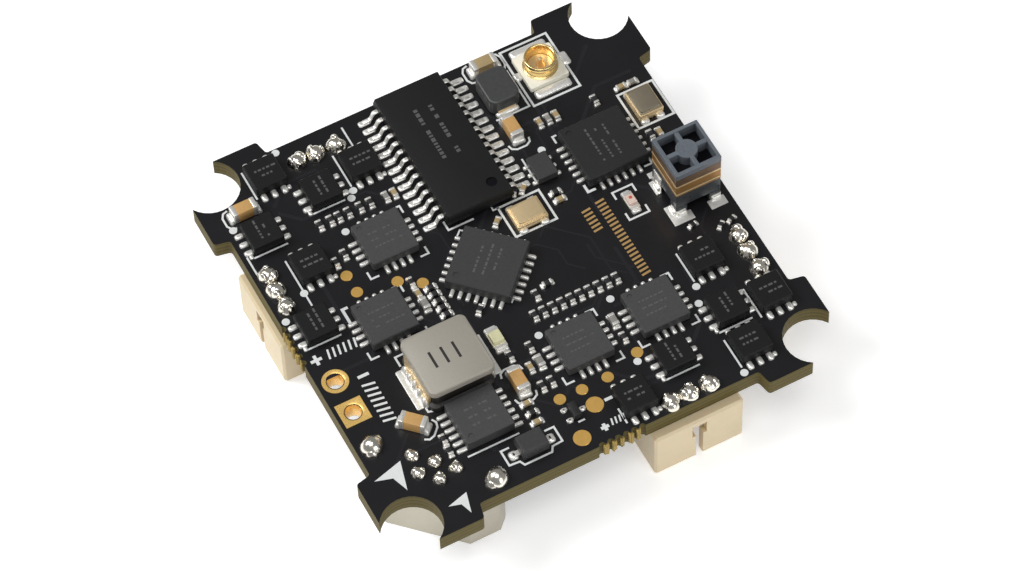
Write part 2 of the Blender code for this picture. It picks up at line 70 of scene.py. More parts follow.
def circle(radius, steps):
    turns = [2 * math.pi * i / steps for i in range(steps)]
    return [(radius * math.cos(a), radius * math.sin(a)) for a in turns]


def rectangle(width, depth, corner, steps=3):
    """A rectangle with round corners, each drawn with steps + 1 points."""
    corner = max(min(corner, width / 2 - 0.001, depth / 2 - 0.001), 0.001)
    points = []
    for quarter, (sx, sy) in enumerate(((1, 1), (-1, 1), (-1, -1), (1, -1))):
        cx, cy = sx * (width / 2 - corner), sy * (depth / 2 - corner)
        for i in range(steps + 1):
            angle = math.pi / 2 * (quarter + i / steps)
            points.append((cx + corner * math.cos(angle), cy + corner * math.sin(angle)))
    return points


def beside(x, y, along, across, degrees):
    """The point at (along, across) from x, y, on axes turned by some degrees."""
    cos, sin = math.cos(math.radians(degrees)), math.sin(math.radians(degrees))
    return x + (along * cos - across * sin), y + (along * sin + across * cos)


def join_loops(bm, loops, closed=False):
    """Skin a row of vertex loops, capped at both ends unless it closes on itself."""
    pairs = list(zip(loops, loops[1:])) + ([(loops[-1], loops[0])] if closed else [])
    for one, two in pairs:
        for i in range(len(one)):
            j = (i + 1) % len(one)
            bm.faces.new((one[i], one[j], two[j], two[i]))
    if not closed:
        bm.faces.new(loops[0][::-1])
        bm.faces.new(loops[-1])


def add_rings(bm, rings, x=0.0, y=0.0, degrees=0.0, closed=False):
    """A solid through a stack of outlines, each given as (points, height)."""
    loops = []
    for points, height in rings:
        placed = [beside(x, y, *point, degrees) for point in points]
        loops.append([bm.verts.new((*spot, height)) for spot in placed])
    join_loops(bm, loops, closed)


def add_stack(bm, x, y, width, depth, layers, degrees=0.0, steps=3):
    """A block through layers given as (cut from width and depth, corner, height)."""
    add_rings(bm, [(rectangle(width - cut, depth - cut, corner, steps), height)
                   for cut, corner, height in layers], x, y, degrees)


def add_slab(bm, x, y, width, depth, low, high, degrees=0.0, corner=0.06, edge=0.05):
    """A moulded block with round corners and a rounded rim at its far end."""
    way = 1 if high > low else -1
    layers = [(0.0, corner, low)]
    for cut, drop in ((0.0, 1.0), (0.6, 0.3), (2.0, 0.0)):
        layers.append((cut * edge, corner, high - way * drop * edge))
    add_stack(bm, x, y, width, depth, layers, degrees)


def add_solder(bm, x, y, width, depth, low, rise, degrees=0.0):
    """A pad with its solder drawn up into a low dome."""
    small = min(width, depth)
    layers = []
    for cut, height in ((0.0, 0.0), (0.0, 0.3), (0.2, 0.75), (0.44, 0.95), (0.72, 1.0)):
        layers.append((cut * small, 0.3 * small, low + height * rise))
    add_stack(bm, x, y, width, depth, layers, degrees)


def add_turned(bm, x, y, profile, steps=40, closed=False):
    """A turned solid, or with closed a ring or a tube, from its (radius, height) corners."""
    add_rings(bm, [(circle(radius, steps), height) for radius, height in profile], x, y,
              closed=closed)


def add_disc(bm, x, y, radius, low, high, steps=28, edge=0.0):
    way = 1 if high > low else -1
    profile = [(radius, low), (radius, high - way * edge)]
    if edge:
        profile.append((radius - edge, high))
    add_turned(bm, x, y, profile, steps)


def add_strip(bm, points, width, low, rise=INK, loop=False):
    """A printed line of even width through some points, with mitred bends."""
    points = [Vector(point) for point in points]
    ways = [(two - one).normalized() for one, two in zip(points, points[1:] + points[:1])]
    last = len(points) - 1
    loops = []
    for i, here in enumerate(points):
        into = ways[i - 1] if loop or i else ways[0]
        out = ways[i] if loop or i < last else into
        along = (into + out).normalized()
        across = Vector((-along.y, along.x)) * (width / 2 / max(along.dot(out), MITRE_LIMIT))
        left, right = here + across, here - across
        loops.append([bm.verts.new((*left, low)), bm.verts.new((*right, low)),
                      bm.verts.new((*right, low + rise)), bm.verts.new((*left, low + rise))])
    join_loops(bm, loops, loop)


def add_blob(bm, x, y, radius, low, rise, seed, stretch=1.0, degrees=0.0, rough=0.16):
    """A hand-soldered joint: a dome with an uneven outline and surface."""
    steps = 26
    rings = []
    for level, lift in ((1.0, 0.0), (0.97, 0.18), (0.86, 0.42), (0.68, 0.66), (0.45, 0.86),
                        (0.2, 0.97), (0.04, 1.0)):
        points = []
        for px, py in circle(1.0, steps):
            spot = Vector((px * 1.3, py * 1.3, lift * 0.8 + seed * 7.3))
            swell = 1 + rough * noise.noise(spot) * (0.5 + level)
            swell += rough * 0.3 * noise.noise(spot * 2.1)
            points.append((radius * level * swell * px * stretch, radius * level * swell * py))
        rings.append((points, low + rise * lift))
    add_rings(bm, rings, x, y, degrees)


def add_object(name, bm, scale=MM):
    """Put a bmesh into the scene as an object, in metres."""
    bm.transform(Matrix.Scale(scale, 4))
    mesh = bpy.data.meshes.new(name)
    bm.to_mesh(mesh)
    bm.free()
    obj = bpy.data.objects.new(name, mesh)
    bpy.context.scene.collection.objects.link(obj)
    return obj


def piece(name, bm, surface, body="board", sharp=38, replaces=()):
    """Turn a millimetre bmesh into a shown piece that rides on a body."""
    bmesh.ops.recalc_face_normals(bm, faces=bm.faces)
    obj = add_object(name, bm)
    obj.data.materials.append(surface)
    obj.data.shade_smooth()
    obj.data.set_sharp_from_angle(angle=math.radians(sharp))
    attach(obj, body)
    if replaces:
        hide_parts(*replaces)
    return obj


def centre_of(node):
    low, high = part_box(node)
    return (low.x + high.x) / 2 / MM, (low.y + high.y) / 2 / MM


def span_of(node):
    low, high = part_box(node)
    return low.z / MM, high.z / MM


def place_of(node):
    """A node's middle in plan, then its bottom and its top."""
    return *centre_of(node), *span_of(node)


# ---- materials

def new_material(name):
    made = bpy.data.materials.new(name)
    made.use_nodes = True
    tree = made.node_tree
    return made, tree, tree.nodes["Principled BSDF"]


def fill(tree, node, **values):
    """Set a node by its inputs' names, with _ for a space; a socket as value is linked."""
    for key, value in values.items():
        name = key.replace("_", " ")
        if name not in node.inputs:
            setattr(node, key, value)
        elif isinstance(value, bpy.types.NodeSocket):
            tree.links.new(value, node.inputs[name])
        else:
            node.inputs[name].default_value = value


def add_node(tree, kind, **values):
    node = tree.nodes.new(kind)
    fill(tree, node, **values)
    return node


def grain_source(tree):
    """Coordinates in millimetres, fixed to the object."""
    place = tree.nodes.new("ShaderNodeTexCoord")
    scaled = add_node(tree, "ShaderNodeMapping", Vector=place.outputs["Object"],
                      Scale=(1 / MM, 1 / MM, 1 / MM))
    return scaled.outputs["Vector"]


def mix_colours(tree, factor, first, second):
    """A colour between two, by a factor's socket."""
    mix = add_node(tree, "ShaderNodeMix", data_type="RGBA")
    mix.inputs[6].default_value = first
    mix.inputs[7].default_value = second
    tree.links.new(factor, mix.inputs[0])
    return mix.outputs[2]


def shade(colour, factor):
    return tuple(min(c * factor, 1.0) for c in colour) + (1.0,)


def finish(name, colour, rough, metal=0.0, vary=0.15, grain=3.0, bump=0.0, bump_grain=20.0,
           wear=0.08, **sockets):
    """A surface with grain in its colour, gloss and relief."""
    made, tree, shader = new_material(name)
    where = grain_source(tree)
    cloud = add_node(tree, "ShaderNodeTexNoise", Vector=where, Scale=grain, Detail=5.0)
    fine = add_node(tree, "ShaderNodeTexNoise", Vector=where, Scale=bump_grain, Detail=3.0)
    tint = mix_colours(tree, cloud.outputs["Fac"], shade(colour, 1 - vary), shade(colour, 1 + vary))
    gloss = add_node(tree, "ShaderNodeMapRange", Value=fine.outputs["Fac"], From_Min=0.3,
                     From_Max=0.7, To_Min=max(rough - wear, 0.02), To_Max=min(rough + wear, 1.0))
    fill(tree, shader, Base_Color=tint, Roughness=gloss.outputs["Result"], Metallic=metal, **sockets)
    if bump:
        relief = add_node(tree, "ShaderNodeBump", Height=fine.outputs["Fac"], Strength=1.0,
                          Distance=bump * MM)
        fill(tree, shader, Normal=relief.outputs["Normal"])
    return made


def board_finish():
    """Black solder mask on the flat faces and bare glass fibre on the routed edges."""
    made, tree, mask = new_material("solder_mask_and_fibre")
    where = grain_source(tree)
    weave = add_node(tree, "ShaderNodeTexNoise", Vector=where, Scale=9.0, Detail=4.0)
    relief = add_node(tree, "ShaderNodeBump", Height=weave.outputs["Fac"], Strength=0.6,
                      Distance=0.006 * MM)
    patches = add_node(tree, "ShaderNodeTexNoise", Vector=where, Scale=0.35, Detail=2.0)
    tint = mix_colours(tree, patches.outputs["Fac"], (0.0055, 0.0055, 0.0065, 1),
                       (0.0115, 0.0115, 0.0135, 1))
    fill(tree, mask, Base_Color=tint, Normal=relief.outputs["Normal"], Roughness=0.34,
         Specular_IOR_Level=0.38)
    layers = add_node(tree, "ShaderNodeTexWave", Vector=where, Scale=0.9, Distortion=1.2,
                      Detail_Scale=3.0, bands_direction="Z")
    bands = mix_colours(tree, layers.outputs["Fac"], (0.088, 0.07, 0.02, 1),
                        (0.13, 0.102, 0.03, 1))
    fibre = add_node(tree, "ShaderNodeBsdfPrincipled", Base_Color=bands, Roughness=0.66,
                     Specular_IOR_Level=0.22)
    facing = tree.nodes.new("ShaderNodeNewGeometry")
    split = add_node(tree, "ShaderNodeSeparateXYZ", Vector=facing.outputs["True Normal"])
    size = add_node(tree, "ShaderNodeMath", operation="ABSOLUTE", Value=split.outputs["Z"])
    flat = add_node(tree, "ShaderNodeMath", operation="GREATER_THAN", Value=size.outputs[0])
    flat.inputs[1].default_value = 0.6
    either = tree.nodes.new("ShaderNodeMixShader")
    for place, source in enumerate((flat, fibre, mask)):
        tree.links.new(source.outputs[0], either.inputs[place])
    tree.links.new(either.outputs[0], tree.nodes["Material Output"].inputs["Surface"])
    return made


def mould(name, level, gloss=0.4):
    """Chip moulding compound: near black, faintly speckled and matte."""
    return finish(name, (level, level, level * 1.02), 0.55, vary=0.22, grain=7.0, bump=0.012,
                  bump_grain=26.0, wear=0.1, Specular_IOR_Level=gloss)


BOARD = board_finish()
SOLDER = finish("solder", (0.86, 0.82, 0.73), 0.2, 1.0, 0.05, 1.0, 0.001, 1.0, 0.05)
PASTE = finish("reflowed_solder", (0.92, 0.91, 0.87), 0.34, 0.62, 0.05, 2.0, 0.004, 5.0, 0.06)
TIN = finish("tin_plate", (0.9, 0.88, 0.83), 0.32, 0.7, 0.05, 4.0, 0.003, 14.0, 0.06)
GOLD = finish("gold_plate", (0.96, 0.57, 0.155), 0.34, 0.7, 0.08, 2.5, 0.004, 9.0, 0.06)
PLATED_HOLE = finish("plated_hole", (1.0, 0.64, 0.2), 0.3, 0.5, 0.06, 2.5, 0.003, 9.0, 0.06)
RING_GOLD = finish("ring_gold", (0.98, 0.73, 0.34), 0.24, 0.97, 0.05, 1.5, 0.002, 12.0, 0.05)
PALE_GOLD = finish("pale_gold", (0.93, 0.72, 0.42), 0.38, 0.75, 0.05, 2.0, 0.002, 12.0, 0.05)
BRONZE = finish("bronze_lid", (0.4, 0.35, 0.26), 0.38, 0.85, 0.1, 2.0, 0.002, 12.0, 0.05)
INK_WHITE = finish("silkscreen_ink", (0.72, 0.74, 0.73), 0.6, vary=0.06, grain=6.0, bump=0.01)
INK_GOLD = finish("gold_ink", (0.5, 0.31, 0.12), 0.45, 0.3, vary=0.12, grain=5.0, bump=0.01)
CREAM = finish("cream_nylon", (0.69, 0.575, 0.375), 0.42, vary=0.05, grain=1.2, bump=0.01,
               bump_grain=9.0, Subsurface_Weight=0.12, Subsurface_Scale=0.0012)
NICKEL = finish("nickel_sheet", (0.48, 0.45, 0.37), 0.42, 1.0, 0.06, 1.5, 0.004, 16.0)
FIBRE = finish("glass_fibre", (0.36, 0.25, 0.06), 0.6, vary=0.35, grain=4.0, bump=0.04,
               bump_grain=9.0)
MOULD_DEEP = mould("mould_deep", 0.006, 0.28)
MOULD_DARK = mould("mould_dark", 0.015)
MOULD_MID = mould("mould_mid", 0.04)
MOULD_GREY = mould("mould_grey", 0.055)
MARK = finish("laser_mark", (0.085, 0.085, 0.085), 0.7, vary=0.3, grain=9.0, bump=0.01)
TRACE = finish("masked_trace", (0.013, 0.013, 0.016), 0.3, vary=0.15, grain=3.0, bump=0.003,
               Specular_IOR_Level=0.45)
BLACK_PLASTIC = finish("black_plastic", (0.02, 0.02, 0.022), 0.4, vary=0.2, grain=3.0, bump=0.01)
FERRITE = finish("pressed_iron", (0.36, 0.335, 0.285), 0.45, 0.1, 0.06, 9.0, 0.008, 22.0)
# Near-black for the recessed coil core, its own dark colour deepened with painted shade, and for the
# marks printed on the cover.
CORE_BLACK_AND_SHADE = finish("core_black_and_painted_shade", (0.022, 0.02, 0.018), 0.5, vary=0.3, grain=4.0, bump=0.02)
COIL_BLACK = finish("coil_black", (0.055, 0.056, 0.056), 0.4, 0.1, 0.25, 4.0, 0.015, 16.0)
TAN = finish("tan_ceramic", (0.56, 0.33, 0.12), 0.36, vary=0.12, grain=5.0, bump=0.006)
SAND = finish("sand_ceramic", (0.4, 0.3, 0.15), 0.4, vary=0.12, grain=5.0, bump=0.006)
GREY_CERAMIC = finish("grey_ceramic", (0.26, 0.25, 0.23), 0.4, vary=0.15, grain=5.0, bump=0.006)
SLATE = finish("slate_moulding", (0.125, 0.142, 0.165), 0.42, vary=0.15, grain=5.0, bump=0.01)
SMOKED = finish("smoked_body", (0.04, 0.045, 0.05), 0.34, vary=0.18, grain=0.8, bump=0.001,
                bump_grain=5.0)
# Near-black floors for hollows, painted shade: the tower's pockets and the overlay chip's dimple.
PAINTED_PIT_SHADE = finish("painted_pit_shade", (0.004, 0.004, 0.006), 0.6, vary=0.3, grain=2.0, bump=0.003,
                   Specular_IOR_Level=0.1)
COPPER = finish("copper_band", (0.42, 0.22, 0.065), 0.4, 0.6, 0.22, 0.9, 0.002, 8.0)
# A darker copy of the band copper: painted shade on the tower's upper band.
COPPER_PAINTED_SHADE = finish("painted_copper_shade", (0.2, 0.125, 0.075), 0.42, 0.6, 0.3, 0.7, 0.002, 8.0)
# A lighter copy of the band copper: painted highlight along the bands' upper edges.
COPPER_PAINTED_HIGHLIGHT = finish("painted_copper_highlight", (0.92, 0.68, 0.38), 0.36, 0.55, 0.1, 2.0, 0.002, 12.0)
YELLOW_LENS, PINK_LENS = [
    finish(name, colour, 0.2, vary=0.1, bump=0.002, Transmission_Weight=0.15, IOR=1.5)
    for name, colour in (("yellow_lens", (0.86, 0.84, 0.52)), ("pink_lens", (0.84, 0.66, 0.58)))]
RED_DIE = finish("red_die", (0.55, 0.1, 0.06), 0.4, vary=0.2, grain=5.0, bump=0.003)
CERAMIC_WHITE = finish("white_ceramic", (0.9, 0.87, 0.74), 0.4, vary=0.06, grain=4.0, bump=0.006)


# ---- board

SWITCHES = [(*centre_of(f"mosfet_{i}"), side) for i, side in enumerate("SWWSSWSWSSSW", 1)]
DRIVERS = [centre_of(f"motor_driver_{i}") for i in range(1, 5)]


def breakaway_stubs():
    """Ragged fibre ribs between the half holes where the board was snapped off its panel."""
    random.seed(11)
    bm = bmesh.new()
    first, pitch, count = -0.89, 0.52, 5
    for index in range(count):
        for row in ("front", "left"):
            along = first + index * pitch + (0.0 if row == "front" else 0.6)
            for shift in (-0.07, 0.06):
                out = -BODY_HALF + random.uniform(-0.03, 0.05)
                spot = (along + shift, out) if row == "front" else (out, along + shift)
                low = UNDER + random.uniform(0.02, 0.3)
                add_slab(bm, *spot, random.uniform(0.13, 0.21), random.uniform(0.16, 0.26), low,
                         TOP - random.uniform(0.05, 0.3), random.uniform(-30, 30), 0.05, 0.06)
    piece("breakaway_stubs", bm, FIBRE)


def on_board(x, y, margin=0.45):
    """Whether a point is on the board, clear of its edge and of the corner notches."""
    notch = math.hypot(abs(x) - NOTCH_CENTRE, abs(y) - NOTCH_CENTRE)
    return max(abs(x), abs(y)) < BODY_HALF - margin and notch > NOTCH_RADIUS + margin


def traces_and_vias():
    """Copper that shows as faint relief under the mask, on both faces."""
    random.seed(4)
    for label, face, way in (("top", TOP, 1), ("under", UNDER, -1)):
        lines, vias = bmesh.new(), bmesh.new()
        for index in range(64):
            x, y = random.uniform(-11.5, 11.5), random.uniform(-11.5, 11.5)
            heading = random.choice(range(8))
            points = [(x, y)]
            for _ in range(random.randint(2, 4)):
                run = random.uniform(0.8, 3.2)
                angle = heading * math.pi / 4
                x, y = x + run * math.cos(angle), y + run * math.sin(angle)
                if not on_board(x, y):
                    break
                points.append((x, y))
                heading += random.choice((-1, 1))
            if len(points) > 1:
                add_strip(lines, points, random.choice((0.12, 0.16, 0.24)), face,
                          way * (0.005 + 0.0001 * index))
                add_disc(vias, *points[-1], 0.13, face, face + way * (0.013 + 0.0001 * index), 14,
                         0.003)
        piece(f"traces_{label}", lines, TRACE)
        piece(f"vias_{label}", vias, TRACE)


def battery_pads():
    """Plated pads and barrels through the two battery holes, flared at both ends."""
    bm = bmesh.new()
    steps = 48
    hole, bore, flare = circle(0.49, steps), circle(0.43, steps), circle(0.6, steps)
    square = []
    for px, py in circle(1.0, steps):
        reach = 0.815 / max(abs(px), abs(py))
        square.append((px * reach, py * reach))
    for (x, y), outer in (((-12.53, -2.53), circle(0.8, steps)), ((-12.55, -4.85), square)):
        rings = [(outer, TOP - 0.02), (outer, TOP + PAD), (flare, TOP + PAD), (hole, TOP - 0.03),
                 (bore, TOP - 0.3), (bore, UNDER + 0.3), (hole, UNDER + 0.03),
                 (flare, UNDER - PAD), (outer, UNDER - PAD), (outer, UNDER + 0.02)]
        add_rings(bm, rings, x, y, closed=True)
    piece("battery_pads", bm, PLATED_HOLE)


def test_pads():
    bm = bmesh.new()
    small = ((-8.73, 3.57), (-8.7, 2.27), (-6.3, 1.8), (-5.07, 1.0), (-1.83, -9.77),
             (-0.41, -9.8), (1.27, -9.77), (3.55, -9.12))
    large = ((-0.25, -11.03), (-1.93, -12.63))
    under = ((-4.2, 7.2), (-2.2, 9.2), (-9.5, -1.0), (-9.5, -2.6), (7.6, -9.6), (9.2, -10.6))
    for spots, radius, steps, face, way in ((small, 0.36, 26, TOP, 1), (large, 0.53, 32, TOP, 1),
                                            (under, 0.45, 28, UNDER, -1)):
        for spot in spots:
            add_disc(bm, *spot, radius, face, face + way * PAD, steps, 0.012)
    piece("test_pads", bm, GOLD)


def silkscreen():
    """White outlines, dots and arrows, with plain signs and hatches in place of lettering."""
    bm = bmesh.new()
    line = 0.12

    def mark(*points, width=line, loop=False):
        add_strip(bm, points, width, TOP, loop=loop)

    def hatch(shape, x, y, count, step, run, width):
        for index in range(count):
            left, near = x + index * step[0], y + index * step[1]
            add_strip(shape, [(left, near), (left + run[0], near + run[1])], width, TOP)

    for x, y in DRIVERS:
        for sx, sy in ((-1, -1), (1, -1), (1, 1)):
            near, far = 1.35, 1.88
            mark((x + sx * far, y + sy * near), (x + sx * far, y + sy * far),
                 (x + sx * near, y + sy * far))
    for dot in ((-7.4, 6.33), (-0.87, -5.4), (3.93, -5.2), (-13.13, 9.57), (-6.03, 8.27),
                (-5.7, 8.7), (-11.43, 3.67), (-13.23, 2.43), (8.69, -6.85), (8.25, -7.93),
                (8.25, -13.27), (-8.53, 13.3), (5.36, 5.9), (3.27, -9.67)):
        add_disc(bm, *dot, 0.24, TOP, TOP + INK * 1.3, 20)
    mark((-10.0, 0.4), (-10.0, 1.6), (-9.65, 1.6), width=0.18)
    for x, high, low in ((-10.92, 13.0, 10.85), (-5.66, 11.5, 9.0), (-11.4, 6.2, 2.7),
                         (8.76, -4.3, -6.5), (10.97, -8.3, -10.5), (8.3, -10.8, -12.9),
                         (0.78, -11.9, -13.0), (-4.28, 13.05, 11.55), (-13.25, 7.5, 5.9),
                         (4.03, 5.9, 3.9)):
        mark((x, high), (x, low), width=0.11)
    for y, left, right in ((7.24, -12.9, -10.7), (8.35, -8.5, -6.4), (0.13, -12.95, -10.8),
                           (-10.25, 8.3, 10.5), (-11.55, 4.1, 6.3), (-10.63, -8.2, -4.9)):
        mark((left, y), (right, y), width=0.11)
    mark((-2.07, 4.2), (-2.07, 3.53), (-0.4, 3.53))
    mark((0.87, 3.75), (0.87, 3.5), (1.25, 3.5), width=0.1)
    mark((-2.0, 2.75), (-1.5, 3.22), (-1.0, 2.8), width=0.1)
    mark((-1.55, -2.35), (-1.17, -2.66), (-0.8, -2.35), width=0.1)
    for left, low, right, high in ((1.17, 1.2, 3.87, 3.5), (11.14, 4.46, 13.5, 7.18),
                                   (6.46, 8.9, 9.57, 13.29)):
        mark((left, low), (right, low), (right, high), (left, high), loop=True, width=0.14)
    mark((6.35, 5.9), (6.35, 6.42), (6.62, 6.42))
    mark((6.35, 2.5), (6.35, 1.95), (6.85, 1.95), width=0.16)
    mark((10.1, 1.95), (10.62, 1.95), (10.62, 2.4))
    mark((6.22, 12.0), (6.22, 9.05), (4.0, 9.05))
    for side in (-1, 1):
        mark((7.54, 0.13 + side * 0.55), (7.54, 0.13 + side * 1.08), (8.86, 0.13 + side * 1.08),
             (8.86, 0.13 + side * 0.55))
    mark((-8.2, -2.75), (-8.8, -2.75), (-8.8, -3.45))
    mark((-8.8, -6.3), (-8.8, -6.9), (-8.3, -7.05))
    mark((-5.87, -11.2), (-6.4, -11.2), (-6.4, -12.25), (-5.75, -12.3), (-5.6, -12.62),
         (-3.85, -12.62), (-3.65, -12.3), (-3.0, -12.25), (-3.0, -11.2), (-3.6, -11.2))
    mark((-1.62, -11.6), (-1.2, -11.6))
    for number, degrees in ((1, 180), (2, 0), (3, -90), (4, -45), (5, -90), (5, 90), (2, 180)):
        x, y = centre_of(f"capacitor_{number}")
        reach = 1.2 if number == 4 else 1.15
        half = [(reach - 0.35, 0.68), (reach - 0.05, 0.6), (reach + 0.12, 0.3)]
        arc = [(px, -py) for px, py in half] + half[::-1]
        mark(*[beside(x, y, *point, degrees) for point in arc])
    for x, y, size in ((-11.67, -9.0, 1.9), (-9.33, -12.6, 1.32)):
        outline = [(0, 0), (-size, -0.27 * size), (-0.46 * size, -0.44 * size),
                   (-0.27 * size, -size)]
        points = [(x + px, y + py) for px, py in outline]
        add_rings(bm, [(points, TOP), (points, TOP + INK)])
    # plain signs and hatches beside the battery pads and the sounder pads
    for x, y, size, plus in ((-12.85, -0.75, 0.7, True), (-10.95, -2.95, 0.7, False),
                             (-0.45, -12.62, 0.5, True), (0.62, -11.05, 0.5, False)):
        mark((x - size / 2, y), (x + size / 2, y), width=0.2)
        if plus:
            add_strip(bm, [(x, y - size / 2), (x, y + size / 2)], 0.2, TOP, INK * 1.1)
    hatch(bm, -12.1, -1.05, 6, (0.34, 0), (0.12, 0.66), line)
    hatch(bm, -11.35, -3.55, 8, (0, -0.38), (0.8, -0.14), 0.14)
    hatch(bm, 0.02, -12.72, 5, (0.25, 0), (0.1, 0.44), 0.1)
    piece("silkscreen", bm, INK_WHITE, sharp=30)
    gold = bmesh.new()
    for x, y, count in ((6.32, 1.03, 20), (5.32, 0.83, 6)):
        hatch(gold, x, y, count, (0, -0.3), (0.6, 0.07), 0.14)
    piece("gold_print_bars", gold, INK_GOLD, sharp=30)


# ---- solder and pads

def leadless_pads(bm, x, y, half, pins, pitch=0.5, degrees=0.0, sides="NESW", length=0.62,
                  width=0.27, face=TOP, way=1):
    """Rows of solder round a chip without legs, tucked a little under its edge."""
    tuck, rise = 0.08, 0.16
    for side in sides:
        heading = degrees + HEADINGS[side]
        for index in range(pins):
            along = (index - (pins - 1) / 2) * pitch
            spot = beside(x, y, along, -(half + length / 2 - tuck), heading)
            add_solder(bm, *spot, width, length, face, way * rise, heading)


def chip_solder():
    bm = bmesh.new()
    for x, y, side in SWITCHES:
        leadless_pads(bm, x, y, 1.0, 3, 0.65, sides={"S": "SN", "W": "WE"}[side], length=0.58,
                      width=0.36)
        add_solder(bm, *beside(x, y, 0.65 * 1.5, -1.2, HEADINGS[side]), 0.26, 0.32, TOP, 0.12)
    for x, y in DRIVERS:
        leadless_pads(bm, x, y, 1.5, 4)
    below = {"face": UNDER, "way": -1, "width": 0.24}
    for node, half, pins, options in (
            ("receiver_processor", 2.0, 7, {"degrees": 45, "length": 0.58, "width": 0.24}),
            ("radio_transceiver", 2.0, 6, {"length": 0.55, "width": 0.24}),
            ("step_down_regulator", 1.5, 6, {"sides": "EW", "length": 0.7}),
            ("linear_regulator", 0.62, 3, {"pitch": 0.6, "sides": "EW", "length": 0.4,
                                           "width": 0.26}),
            ("main_processor", 3.5, 12, {"length": 0.55, **below}),
            ("motion_sensor", 1.25, 5, {"sides": "NS", "length": 0.35, **below}),
            ("motion_sensor", 1.5, 3, {"sides": "EW", "length": 0.35, **below})):
        leadless_pads(bm, *centre_of(node), half, pins, **options)
    piece("chip_solder", bm, PASTE)


def add_joint(bm, x, y, radius, rise, seed):
    """A soldered pin: a dome that buries the tail's tip, with rounded lobes drawn up round it."""
    lobes = 3
    add_blob(bm, x, y, radius, TOP - 0.01, rise, seed, rough=0.06)
    for lobe in range(lobes):
        heading = 47 * seed + lobe * 360 / lobes + 14 * math.sin(seed * 5 + lobe)
        size = radius * (0.5 + 0.12 * math.sin(seed * 3 + lobe * 2))
        add_blob(bm, *beside(x, y, radius * 0.58, 0, heading), size, TOP + 0.02,
                 rise * (0.85 + 0.35 * lobe / lobes), seed + lobe * 5 + 2, 1.2, heading + 90, 0.03)


def connector_joints():
    """Solder over the connectors' tails and round the data socket's legs."""
    bm = bmesh.new()
    for number in range(1, 5):
        for index in range(1, 4):
            x, y = centre_of(f"motor_connector_{number}_pin_{index}")
            add_joint(bm, x, y, 0.6, 0.55, number * 3 + index)
    piece("motor_joints", bm, SOLDER, sharp=120)
    bm = bmesh.new()
    x, y = centre_of("usb_insulator")
    across = -45
    for seed, spot in enumerate(((-1.32, 0.02), (0, 0.02), (1.28, 0.02), (-0.62, -0.97),
                                 (0.6, -0.97)), 20):
        add_joint(bm, *beside(x, y, *spot, across), 0.42, 0.34, seed)
    for side in (-1, 1):
        add_blob(bm, *beside(x, y, side * 3.72, -0.03, across), 0.7, TOP - 0.01, 0.72, 40 + side,
                 1.0, 30, 0.1)
        for lobe, spread in enumerate((-0.42, 0.42)):
            add_blob(bm, *beside(x, y, side * 3.6, spread - 0.03, across), 0.4, TOP - 0.01, 0.42,
                     50 + side + lobe * 3, 1.0, 60 * lobe, 0.12)
    piece("usb_joints", bm, SOLDER, sharp=120)


# ---- small passives

SMALL = (0.62, 0.32, 0.26)
MEDIUM = (1.0, 0.5, 0.42)


def add_passive(sets, x, y, degrees, kind, size=SMALL, face=TOP, way=1):
    """A chip resistor or capacitor: body, two tinned ends and two solder fillets."""
    length, width, height = size
    end = length * 0.24
    low = face + way * 0.04
    add_slab(sets[kind], x, y, length - 2 * end + 0.02, width * 0.94, low,
             face + way * (height + 0.02), degrees, 0.01, 0.02)
    for side in (-1, 1):
        add_slab(sets["ends"], *beside(x, y, side * (length - end) / 2, 0, degrees), end, width,
                 low, face + way * (height + 0.05), degrees, 0.03, 0.04)
        add_solder(sets["solder"], *beside(x, y, side * (length / 2 + 0.04), 0, degrees),
                   end * 1.25, width * 1.2, face, way * 0.13, degrees)


